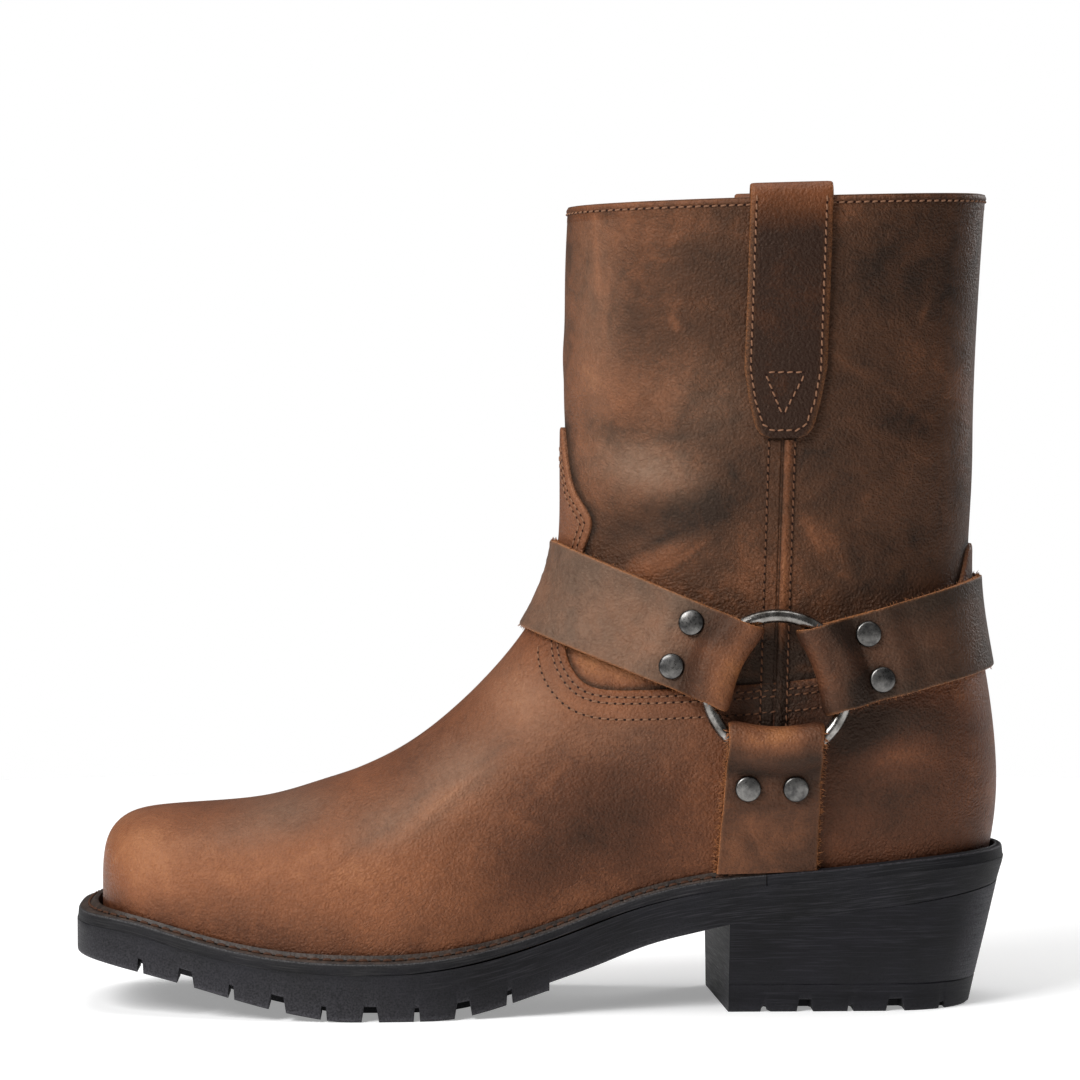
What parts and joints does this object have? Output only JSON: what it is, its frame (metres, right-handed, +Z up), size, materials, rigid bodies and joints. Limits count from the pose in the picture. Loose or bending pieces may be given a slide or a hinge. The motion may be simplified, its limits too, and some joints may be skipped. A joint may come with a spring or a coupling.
{
  "type": "harness boot",
  "caption": "Short pull-on leather harness boot with a squared toe, straps joined by a steel ring at each side, a welted lug sole and a stacked block heel.",
  "frame": {"origin": "centre of the bounding box, on the floor under the boot", "axes": "+X towards the heel, so the toe points to -X; +Y towards the inner (medial) side; +Z up"},
  "size_m": [0.3086, 0.1067, 0.2715],
  "materials": {
    "upper leather": "oiled, satin",
    "strap leather": "oiled, satin",
    "insole": "matte",
    "welt": "matte",
    "rubber": "matte",
    "steel": "aged"
  },
  "bodies": {
    "root": {"upper": "upper leather", "insole": "insole", "outsole": "rubber", "welt": "welt", "heel_rand": "rubber", "heel_stack": "rubber", "heel_lift": "rubber", "strap_front": "strap leather", "strap_back": "strap leather", "strap_down_lateral": "strap leather", "strap_down_medial": "strap leather", "ring_lateral": "steel", "ring_medial": "steel", "pull_tab_lateral": "strap leather", "pull_tab_medial": "strap leather", "rivet_front_1_lateral": "steel", "rivet_front_1_medial": "steel", "rivet_front_2_lateral": "steel", "rivet_front_2_medial": "steel", "rivet_back_1_lateral": "steel", "rivet_back_1_medial": "steel", "rivet_back_2_lateral": "steel", "rivet_back_2_medial": "steel", "rivet_down_1_lateral": "steel", "rivet_down_1_medial": "steel", "rivet_down_2_lateral": "steel", "rivet_down_2_medial": "steel"}
  },
  "joints": []
}
